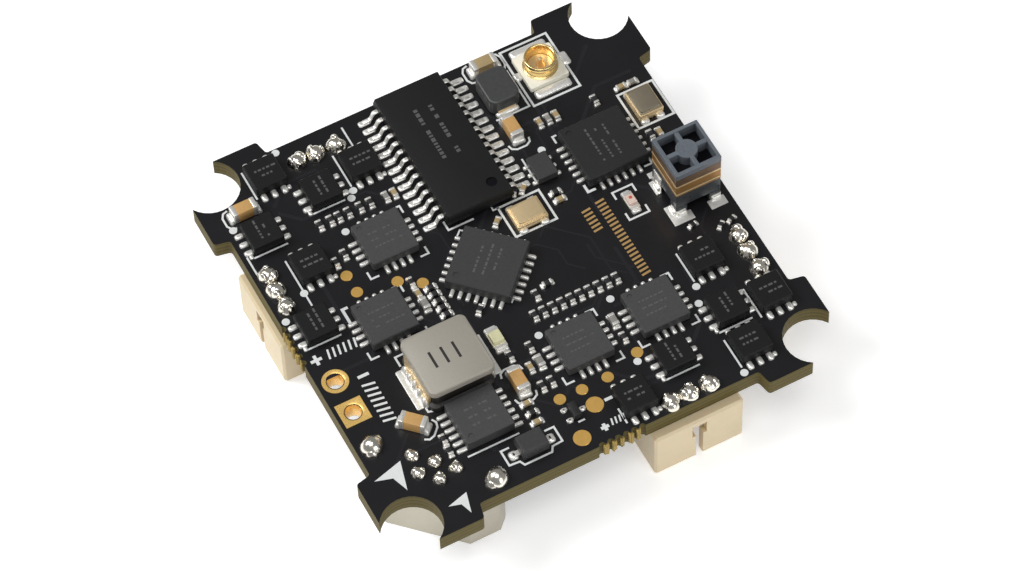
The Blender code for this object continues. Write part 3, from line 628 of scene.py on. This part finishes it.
def small_passives():
    sets = {key: bmesh.new() for key in ("black", "tan", "grey", "ends", "solder")}
    for x in (-8.53, -7.83, -7.3, -6.67, -5.9, -5.23):
        add_passive(sets, x, 7.4, 90, "black")
    for index in range(10):
        add_passive(sets, -0.47 + index * 0.597, -4.15, 90, "black")
    for index in range(5):
        add_passive(sets, -4.85, 0.43 - index * 0.52, 0, "black")
    places = {
        ("black", 90): ((9.79, 7.5), (0.27, -2.95), (-3.0, -5.9), (-1.7, -5.9), (-2.33, -8.57),
                        (-1.7, -8.53), (3.33, -7.92), (-8.9, -9.0), (11.5, 3.7), (-8.97, -9.82),
                        (-8.9, 4.6), (-8.2, 4.9), (-5.67, 1.3)),
        ("black", 0): ((1.2, -2.57), (4.63, 2.8), (-3.65, -9.87)),
        ("black", 45): ((-3.03, -2.28), (2.6, 4.05)),
        ("tan", 90): ((-3.7, 7.33), (6.14, 7.64), (7.25, 7.64), (-2.33, -7.13), (12.05, 3.6),
                      (-5.67, 0.4)),
        ("tan", 0): ((11.6, 7.57), (4.63, 2.23), (-3.65, -9.17), (-3.7, -10.53)),
        ("tan", 45): ((0.65, 2.62), (3.1, 3.95)),
        ("grey", 90): ((-4.23, 7.33), (6.71, 7.64)),
        ("grey", 0): ((12.35, 7.57),)}
    for (kind, degrees), spots in places.items():
        for x, y in spots:
            add_passive(sets, x, y, degrees, kind)
    for x, y in ((-1.69, -7.07), (3.33, -6.67), (-5.67, -0.45)):
        add_passive(sets, x, y, 90, "grey", (0.8, 0.42, 0.38))
    for x, y, degrees in ((10.57, -3.08, 10), (12.0, -3.86, 40), (12.75, -3.8, 20)):
        add_passive(sets, x, y, degrees, "black", (0.5, 0.26, 0.22))
    # underside: decoupling parts round the main processor and the motion sensor
    below = (SMALL, UNDER, -1)
    for index in range(8):
        along = -2.2 + index * 0.8
        add_passive(sets, along, 5.55, 90, "tan" if index % 3 else "black", *below)
        add_passive(sets, along, -4.35, 90, "black" if index % 2 else "tan", *below)
        add_passive(sets, 5.75, along, 0, "black", *below)
        add_passive(sets, -4.55, along, 0, "black" if index % 4 else "tan", *below)
    for x, y, degrees in ((-3.6, -6.8, 90), (-3.6, -8.2, 90), (1.2, -7.0, 90), (1.2, -8.4, 90),
                          (5.4, 7.2, 0), (5.4, 8.6, 0), (-7.4, 1.5, 90), (-7.4, -1.5, 90),
                          (8.4, 1.4, 90), (8.4, -1.2, 90), (8.6, -3.4, 90)):
        add_passive(sets, x, y, degrees, "tan", MEDIUM, UNDER, -1)
    piece("resistor_bodies", sets["black"], BLACK_PLASTIC)
    piece("tan_capacitor_bodies", sets["tan"], SAND)
    piece("grey_capacitor_bodies", sets["grey"], GREY_CERAMIC)
    piece("passive_ends", sets["ends"], TIN)
    piece("passive_solder", sets["solder"], PASTE)


def large_capacitors():
    """Five tan capacitors with wrapped silver ends."""
    ends, solder = bmesh.new(), bmesh.new()
    for index, degrees in enumerate((0, 0, 90, -45, 90), 1):
        node = f"capacitor_{index}"
        x, y, low, high = place_of(node)
        body = bmesh.new()
        add_slab(body, x, y, 1.02, 0.76, low, high - 0.02, degrees, 0.03, 0.04)
        piece(f"{node}_body", body, SAND if index == 2 else TAN, replaces=(node,))
        for side in (-1, 1):
            add_slab(ends, *beside(x, y, side * 0.645, 0, degrees), 0.31, 0.8, low, high, degrees,
                     0.06, 0.07)
            add_solder(solder, *beside(x, y, side * 0.86, 0, degrees), 0.34, 0.82, TOP, 0.3,
                       degrees)
    piece("capacitor_ends", ends, TIN)
    piece("capacitor_solder", solder, PASTE)


# ---- chips

def lead_profile(root, toe, knee_height):
    """Centre line of one gull-wing lead, from the body out and down to its foot."""
    return [(root, knee_height), (root + 0.22, knee_height), (root + 0.33, knee_height - 0.04),
            (root + 0.4, knee_height - 0.13), (root + 0.5, 0.26), (root + 0.57, 0.15),
            (root + 0.68, 0.11), (toe - 0.04, 0.1), (toe, 0.07)]


def overlay_chip():
    """The long chip: drafted body with its bevelled edge and dimple, and 28 bent leads."""
    x, y, _, high = place_of("osd_chip")
    width, depth, pitch, count = 4.4, 9.7, 0.65, 14
    mid = TOP + 0.62
    body = bmesh.new()
    rings = []
    for inset, height in ((0.1, TOP + 0.14), (0.0, mid - 0.06), (0.0, mid + 0.06),
                          (0.08, high - 0.06), (0.13, high)):
        shape = rectangle(width - 2 * inset, depth - 2 * inset, 0.06)
        bevel = 0.24 if height == high else 0.0
        rings.append(([(px + bevel if px < 0 else px, py) for px, py in shape], height))
    add_rings(body, rings, x, y)
    shell = piece("osd_chip_body", body, MOULD_DEEP, replaces=("osd_chip",))
    dimple, floor = bmesh.new(), bmesh.new()
    spot = (x + 1.25, y - 3.8)
    add_disc(dimple, *spot, 0.33, high - 0.1, high + 0.2, 32)
    add_disc(floor, *spot, 0.32, high - 0.12, high - 0.085, 32)
    cutter = add_object("osd_dimple_cutter", dimple)
    cutter.hide_render = True
    cutter.hide_viewport = True
    step = shell.modifiers.new("dimple", "BOOLEAN")
    step.operation = "DIFFERENCE"
    step.object = cutter
    # The dimple's floor is a near-black disc: painted shade in the hollow.
    piece("osd_chip_dimple", floor, PAINTED_PIT_SHADE)
    leads, solder = bmesh.new(), bmesh.new()
    lead_section = rectangle(0.3, 0.16, 0.07, 2)
    line = lead_profile(width / 2 - 0.05, 3.2, 0.62)
    for side in (-1, 1):
        for index in range(count):
            at = y + (index - (count - 1) / 2) * pitch
            join_loops(leads, [[leads.verts.new((x + side * px, at + dy, TOP + pz + dz))
                                for dy, dz in lead_section] for px, pz in line])
            add_solder(solder, x + side * 3.1, at, 0.8, 0.4, TOP, 0.12)
    piece("osd_chip_leads", leads, TIN, sharp=60)
    piece("osd_chip_solder", solder, PASTE)


def marks_on_chips():
    """Faint rows of plain dashes where a maker's marking would be."""
    random.seed(7)
    bm = bmesh.new()

    def rows(x, y, height, width, lines, gap, degrees=0.0, letter=0.26):
        for row in range(lines):
            across = (row - (lines - 1) / 2) * gap
            at = -width / 2
            while at < width / 2:
                run = random.choice((0.14, 0.2, 0.28))
                if random.random() < 0.85:
                    dash = [beside(x, y, end, across, degrees) for end in (at, at + run)]
                    add_strip(bm, dash, letter * 0.5, height, 0.004)
                at += run + 0.1

    for index, (x, y, side) in enumerate(SWITCHES, 1):
        rows(x, y, span_of(f"mosfet_{index}")[1], 1.15, 2, 0.42, 0 if side == "S" else 90)
    for index, (x, y) in enumerate(DRIVERS, 1):
        rows(x, y, span_of(f"motor_driver_{index}")[1], 1.7, 3, 0.5, 0, 0.2)
    for node, width, lines, degrees in (("receiver_processor", 2.0, 3, 45),
                                        ("radio_transceiver", 2.4, 3, 90),
                                        ("step_down_regulator", 1.4, 3, 0)):
        rows(*centre_of(node), span_of(node)[1], width, lines, 0.55, degrees)
    x, y, _, high = place_of("osd_chip")
    rows(x + 0.1, y + 0.9, high, 3.8, 2, 0.95, 90, 0.5)
    x, y, low, _ = place_of("main_processor")
    rows(x, y, low - 0.004, 3.6, 3, 0.9, 0, 0.4)
    piece("chip_marks", bm, MARK, sharp=30)


def dress_chips():
    """Materials for the CAD chips that keep their own shape."""
    def dress(node, surface):
        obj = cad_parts[node]
        obj.data.materials.clear()
        obj.data.materials.append(surface)

    dress("circuit_board", BOARD)
    for index in range(1, 13):
        dress(f"mosfet_{index}", MOULD_DEEP)
    for index in range(1, 5):
        dress(f"motor_driver_{index}", MOULD_GREY)
        dress(f"motor_connector_{index}_housing", CREAM)
        for pin in range(1, 4):
            dress(f"motor_connector_{index}_pin_{pin}", PALE_GOLD)
    for surface, nodes in (
            (MOULD_DARK, ("radio_transceiver", "main_processor")),
            (MOULD_MID, ("receiver_processor", "linear_regulator", "motion_sensor")),
            (MOULD_GREY, ("step_down_regulator",)), (COIL_BLACK, ("filter_inductor",)),
            (BLACK_PLASTIC, ("usb_insulator", "boot_button_plunger"))):
        for node in nodes:
            dress(node, surface)
    for node in ("usb_shell", "boot_button_body"):
        dress(node, NICKEL)


# ---- larger parts

def coils():
    """The pressed power coil with its recessed core, near-black as its own dark colour and painted
    shade, its terminals, and the filter coil's pads.
    """
    x, y, low, high = place_of("power_inductor")
    side, plate = 4.2, 0.5
    cover = bmesh.new()
    under = high - plate
    add_stack(cover, x, y, side, side,
              [(0.1, 0.4, under), (0.0, 0.45, under + 0.05), (0.0, 0.45, high - 0.14),
               (0.05, 0.42, high - 0.04), (0.15, 0.38, high)], steps=8)
    piece("power_inductor_cover", cover, FERRITE, replaces=("power_inductor",))
    # The core under the cover is near-black: partly the winding's own dark colour, partly painted
    # shade under the overhang.
    core = bmesh.new()
    add_stack(core, x, y, side, side,
              [(0.1, 0.35, low), (0.1, 0.35, low + 0.35), (0.5, 0.3, low + 0.45),
               (0.5, 0.3, under + 0.1)], steps=6)
    piece("power_inductor_core", core, CORE_BLACK_AND_SHADE)
    marks = bmesh.new()
    for index in range(3):
        at = x - 0.9 + 0.75 * index
        add_strip(marks, [(at, y - 0.55), (at, y + 0.6)], 0.16, high, 0.006)
    piece("power_inductor_mark", marks, CORE_BLACK_AND_SHADE, sharp=30)
    metal, solder = bmesh.new(), bmesh.new()
    for way in (-1, 1):
        add_slab(metal, x + way * (side / 2 - 0.13), y, 0.22, 3.0, low + 0.02, under + 0.02, 0,
                 0.04, 0.03)
        for step in range(5):
            lift = 0.8 - 0.12 * abs(step - 1.7)
            add_blob(solder, x + way * (side / 2 + 0.04), y - 1.2 + step * 0.6, 0.36, TOP, lift,
                     step + 3 * way, 0.7, 0, 0.2)
        add_slab(solder, x + way * (side / 2 + 0.28), y, 0.68, 2.9, TOP, TOP + 0.08, 0, 0.08, 0.04)
    x, y = centre_of("filter_inductor")
    for way in (-1, 1):
        add_solder(solder, x, y + way * 1.25, 1.5, 0.4, TOP, 0.2)
        add_slab(metal, x, y + way * 1.22, 1.2, 0.1, TOP + 0.04, TOP + 0.4, 0, 0.02, 0.03)
    piece("coil_terminals", metal, PALE_GOLD)
    piece("coil_solder", solder, PASTE)


def surge_parts():
    """The diode by the lower edge and the small transistor beside the test pads."""
    x, y, low, high = place_of("surge_diode")
    body, metal, solder = bmesh.new(), bmesh.new(), bmesh.new()
    add_rings(body, [(rectangle(1.62, 1.17, 0.05), low), (rectangle(1.7, 1.25, 0.05), low + 0.4),
                     (rectangle(1.6, 1.14, 0.06), high - 0.06),
                     (rectangle(1.48, 1.02, 0.06), high)], x, y)
    piece("surge_diode_body", body, MOULD_MID, replaces=("surge_diode",))
    for side in (-1, 1):
        add_slab(metal, x + side * 1.0, y, 0.5, 0.34, TOP + 0.04, TOP + 0.2, 0, 0.02, 0.04)
        add_solder(solder, x + side * 1.18, y, 0.55, 0.6, TOP, 0.2)
    body = bmesh.new()
    add_slab(body, -1.52, -10.93, 0.5, 1.0, TOP + 0.05, TOP + 0.5, 0, 0.04, 0.06)
    for px, py in ((-2.0, -10.55), (-2.0, -11.3), (-1.02, -10.93)):
        add_slab(metal, px, py, 0.4, 0.2, TOP + 0.03, TOP + 0.14, 0, 0.02, 0.03)
        add_solder(solder, px, py, 0.34, 0.34, TOP, 0.14)
    piece("small_transistor", body, MOULD_DARK)
    piece("surge_leads", metal, TIN)
    piece("surge_solder", solder, PASTE)


def clock_parts():
    """The two clock packages: gilt base, sealed metal lid and solder at the corners."""
    base, solder = bmesh.new(), bmesh.new()
    for node, width, depth, lid in (("osd_crystal", 2.0, 1.6, PALE_GOLD),
                                    ("radio_oscillator", 1.6, 2.0, BRONZE)):
        x, y, low, high = place_of(node)
        add_slab(base, x, y, width, depth, low, high - 0.16, 0, 0.08, 0.03)
        cover = bmesh.new()
        add_stack(cover, x, y, width, depth,
                  [(0.14, 0.12, high - 0.16), (0.14, 0.12, high - 0.1), (0.3, 0.12, high - 0.08),
                   (0.34, 0.12, high - 0.01), (0.42, 0.1, high)])
        piece(f"{node}_lid", cover, lid, replaces=(node,))
        for sx, sy in CORNERS:
            add_solder(solder, x + sx * (width / 2 - 0.3), y + sy * (depth / 2 + 0.08), 0.55, 0.36,
                       TOP, 0.2)
    piece("clock_bases", base, PALE_GOLD)
    piece("clock_solder", solder, PASTE)


def lights():
    """Two indicator lights: pale base, clear lens and tinned ends."""
    base, ends, solder = bmesh.new(), bmesh.new(), bmesh.new()
    for node, width, depth in (("power_led", 0.8, 1.4), ("receiver_led", 0.6, 1.2)):
        x, y, low, high = place_of(node)
        add_slab(base, x, y, width, depth - 0.36, low, low + 0.18, 0, 0.03, 0.02)
        lens = bmesh.new()
        add_rings(lens, [(rectangle(width * 0.94, depth * 0.62, 0.05), low + 0.18),
                         (rectangle(width * 0.86, depth * 0.56, 0.06), high - 0.04),
                         (rectangle(width * 0.74, depth * 0.48, 0.06), high)], x, y)
        piece(f"{node}_lens", lens, PINK_LENS if node == "receiver_led" else YELLOW_LENS,
              replaces=(node,))
        for side in (-1, 1):
            add_slab(ends, x, y + side * (depth / 2 - 0.1), width, 0.24, low, low + 0.22, 0, 0.03,
                     0.03)
            add_solder(solder, x, y + side * (depth / 2 + 0.08), width, 0.3, TOP, 0.18)
    x, y, _, high = place_of("receiver_led")
    die = bmesh.new()
    add_slab(die, x, y + 0.08, 0.2, 0.2, high - 0.01, high + 0.012, 0, 0.03, 0.006)
    piece("receiver_led_die", die, RED_DIE)
    piece("led_bases", base, CERAMIC_WHITE)
    piece("led_ends", ends, TIN)
    piece("led_solder", solder, PASTE)


def antenna_tower():
    """Grey top grid over pockets floored with painted shade, copper sheets with painted shade and
    painted highlight bands, smoked legs and tinned feet.
    """
    x, y, low, high = place_of("antenna_tower")
    side, wall, arm = 3.0, 0.22, 0.14
    opening = side - 2 * wall
    rim = high - 0.45
    under = high - 0.8

    def square(size, corner):
        return rectangle(size, size, corner, 7)

    top = bmesh.new()
    outer, inner = square(side, 0.06), square(opening, 0.03)
    brink, waist = square(side - 0.06, 0.05), square(side - 0.16, 0.05)
    add_rings(top, [(waist, under), (waist, rim), (outer, rim), (outer, high - 0.03),
                    (brink, high), (inner, high), (inner, under)], x, y, closed=True)
    for degrees in (0, 90):
        add_slab(top, x, y, opening + 0.04, 2 * arm, under + 0.02, high - 0.03, degrees, 0.01,
                 0.02)
    add_turned(top, x, y, [(0.66, under + 0.02), (0.66, high - 0.03), (0.63, high), (0.54, high),
                           (0.52, high - 0.018)])
    for degrees in range(0, 360, 60):
        add_slab(top, *beside(x, y, 0.27, 0, degrees + 15), 0.2, 0.12, high - 0.06, high - 0.002,
                 degrees + 40, 0.04, 0.01)
    piece("tower_plate", top, SLATE, replaces=("antenna_tower",))
    # The pockets' floor is a near-black sheet: painted shade at the bottom of the pockets.
    pits = bmesh.new()
    add_slab(pits, x, y, opening + 0.02, opening + 0.02, under - 0.06, under + 0.03, 0, 0.02,
             0.01)
    piece("tower_pocket_painted_shade", pits, PAINTED_PIT_SHADE)
    body = bmesh.new()
    half = side / 2 - 0.03
    leg = 0.74
    reach = half - leg / 2
    for sx, sy in CORNERS:
        add_slab(body, x + sx * reach, y + sy * reach, leg, leg, low, low + 0.75, 0, 0.04, 0.03)
    add_slab(body, x, y, 2 * half, 2 * half, low + 0.7, under - 0.01, 0, 0.05, 0.02)
    piece("tower_body", body, SMOKED)
    # sheets from the top down: (drop below the top, height, how far it stands inside the side)
    for label, surface, sheets in (
            # The sheet labelled bronze is the darker copper copy: painted shade below the grey rim.
            ("bronze", COPPER_PAINTED_SHADE, ((0.5, 0.6, 0.02),)),
            ("bands", COPPER, ((1.28, 0.56, 0.02), (2.02, 0.14, 0.02))),
            # Thin light strips over the bands: painted highlight where the upper edges catch the
            # light.
            ("band_painted_highlights", COPPER_PAINTED_HIGHLIGHT, ((1.13, 0.12, 0.0), (1.9, 0.12, 0.0)))):
        bm = bmesh.new()
        for drop, height, inset in sheets:
            outer, inner = square(side - inset, 0.06), square(side - 0.17, 0.03)
            over, base = high - drop, high - drop - height
            add_rings(bm, [(outer, base), (outer, over), (inner, over), (inner, base)], x, y,
                      closed=True)
        piece(f"tower_{label}", bm, surface)
    feet, solder = bmesh.new(), bmesh.new()
    for sx, sy in CORNERS:
        add_slab(feet, x + sx * 1.17, y + sy * 1.17, 0.68, 0.68, low, low + 0.3, 0, 0.05, 0.04)
    add_slab(feet, x - 1.47, y + 0.78, 0.08, 0.9, low + 0.05, low + 1.3, 0, 0.03, 0.02)
    for left, near, right, far in ((-1.9, -2.15, -0.55, -1.5), (-1.9, -1.5, -1.4, -0.7),
                                   (0.55, -2.15, 1.65, -1.5), (-1.8, 0.3, -1.45, 1.3),
                                   (-1.6, 1.5, -0.6, 1.9), (0.6, 1.5, 1.6, 1.9)):
        add_slab(solder, x + (left + right) / 2, y + (near + far) / 2, right - left, far - near,
                 TOP, TOP + 0.06, 0, 0.03, 0.02)
    for px, py, degrees in ((-1.15, -1.56, 0), (-1.56, -1.1, 90), (1.15, -1.56, 0),
                            (-1.56, 0.8, 90)):
        add_solder(solder, x + px, y + py, 0.66, 0.2, TOP + 0.05, 0.24, degrees)
    piece("tower_feet", feet, TIN)
    piece("tower_solder", solder, PASTE)


def coax_socket():
    """Moulded base, rolled gold ring, inner contact and the pads that hold them."""
    x, y = centre_of("antenna_socket_base")
    low, base_top = span_of("antenna_socket_base")
    high = span_of("antenna_socket_ring")[1]
    base = bmesh.new()
    add_slab(base, x, y, 2.6, 2.6, low, base_top, 0, 0.12, 0.06)
    piece("antenna_socket_block", base, CERAMIC_WHITE,
          replaces=("antenna_socket_base",))
    barrel = bmesh.new()
    add_turned(barrel, x, y, [(0.8, base_top), (1.08, base_top), (1.08, base_top + 0.06),
                              (0.97, base_top + 0.1), (0.93, base_top + 0.3),
                              (0.93, high - 0.42), (1.0, high - 0.3), (1.0, high - 0.07),
                              (0.97, high - 0.02), (0.92, high), (0.86, high - 0.02),
                              (0.83, high - 0.08), (0.8, high - 0.3)], 56, closed=True)
    piece("antenna_socket_barrel", barrel, RING_GOLD, sharp=50,
          replaces=("antenna_socket_ring",))
    core = bmesh.new()
    add_disc(core, x, y, 0.79, base_top, base_top + 0.1, 40, 0.02)
    add_turned(core, x, y, [(0.3, base_top + 0.09), (0.26, base_top + 0.25), (0.17, high - 0.45),
                            (0.17, high - 0.25), (0.12, high - 0.16), (0.04, high - 0.14)], 24)
    piece("antenna_socket_contact", core, PALE_GOLD,
          replaces=("antenna_socket_pin",))
    solder = bmesh.new()
    for side in (-1, 1):
        add_solder(solder, x, y + side * 1.62, 2.4, 0.62, TOP, 0.2)
    add_solder(solder, x + 1.6, y, 0.6, 1.0, TOP, 0.18)
    add_solder(solder, x - 1.5, y + 0.1, 0.45, 0.6, TOP, 0.14)
    piece("antenna_socket_solder", solder, PASTE)


def data_socket_contacts():
    """Five contact strips along the data socket's tongue."""
    x, y = centre_of("usb_insulator")
    bm = bmesh.new()
    for index in range(5):
        add_slab(bm, *beside(x, y, (index - 2) * 0.65, -0.02, -45), 0.36, 0.06, 2.7, 0.62, -45,
                 0.01, 0.01)
    piece("usb_contacts", bm, GOLD)


def underside_ink():
    """Printed frames and first-pin marks on the underside."""
    bm = bmesh.new()

    def frame_round(node, gap, width=0.13):
        low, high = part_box(node)
        left, right = low.x / MM - gap, high.x / MM + gap
        near, far = low.y / MM - gap, high.y / MM + gap
        limit = EAR_HALF - 1.1
        left, near = max(left, -limit), max(near, -limit)
        right, far = min(right, limit), min(far, limit)
        add_strip(bm, [(left, near), (right, near), (right, far), (left, far)], width, UNDER,
                  -INK, loop=True)

    for number in range(1, 5):
        frame_round(f"motor_connector_{number}_housing", 0.22)
    frame_round("boot_button_body", 0.35)
    frame_round("motion_sensor", 0.55)
    x, y = centre_of("main_processor")
    near, far = 3.5, 4.15
    for sx, sy in CORNERS:
        add_strip(bm, [(x + sx * near, y + sy * far), (x + sx * far, y + sy * far),
                       (x + sx * far, y + sy * near)], 0.13, UNDER, -INK)
    add_disc(bm, x - 4.4, y - 4.4, 0.25, UNDER, UNDER - INK, 20)
    add_disc(bm, -3.1, -9.4, 0.22, UNDER, UNDER - INK, 20)
    piece("silkscreen_under", bm, INK_WHITE, sharp=30)
    solder = bmesh.new()
    x, y = centre_of("boot_button_body")
    for side in (-1, 1):
        add_solder(solder, x + side * 1.8, y, 0.6, 1.1, UNDER, -0.2)
    piece("boot_button_solder", solder, PASTE)


# ---- stage

def stage():
    """Pale floor, soft studio light and the camera, placed from the board's top face."""
    bm = bmesh.new()
    bmesh.ops.create_grid(bm, x_segments=1, y_segments=1, size=2.0)
    floor = add_object("floor", bm, 1.0)
    floor.location.z = -0.00002
    floor.data.materials.append(finish("floor_paper", (0.88, 0.88, 0.88), 0.7, vary=0.01,
                                       grain=0.02, Emission_Color=(1, 1, 1, 1),
                                       Emission_Strength=0.4))

    world = bpy.data.worlds.new("studio")
    bpy.context.scene.world = world
    world.use_nodes = True
    background = world.node_tree.nodes["Background"]
    background.inputs["Color"].default_value = (1.0, 1.0, 1.0, 1)
    background.inputs["Strength"].default_value = 0.24

    for name, place, size, power in (("key", (-0.34, 0.22, 0.42), 0.26, 2.0),
                                     ("top", (-0.12, -0.16, 0.62), 0.34, 1.3),
                                     ("front", (0.16, -0.5, 0.22), 0.28, 0.7)):
        data = bpy.data.lights.new(name, "AREA")
        data.size = size
        data.energy = power
        light = bpy.data.objects.new(name, data)
        light.location = place
        light.rotation_euler = Vector(place).to_track_quat("Z", "Y").to_euler()
        bpy.context.scene.collection.objects.link(light)

    data = bpy.data.cameras.new("camera")
    data.sensor_width = 36.0
    data.lens = CAMERA_LENS
    data.clip_start = 0.01
    camera = bpy.data.objects.new("camera", data)
    camera.location = (Vector(CAMERA_PLACE) + Vector((0, 0, TOP))) * MM
    camera.rotation_euler = [math.radians(angle) for angle in CAMERA_TURN]
    bpy.context.scene.collection.objects.link(camera)
    bpy.context.scene.camera = camera
    bpy.context.scene.view_settings.view_transform = "Standard"


stage()
dress_chips()
breakaway_stubs()
traces_and_vias()
battery_pads()
test_pads()
silkscreen()
chip_solder()
connector_joints()
small_passives()
large_capacitors()
overlay_chip()
marks_on_chips()
coils()
surge_parts()
clock_parts()
lights()
antenna_tower()
coax_socket()
data_socket_contacts()
underside_ink()
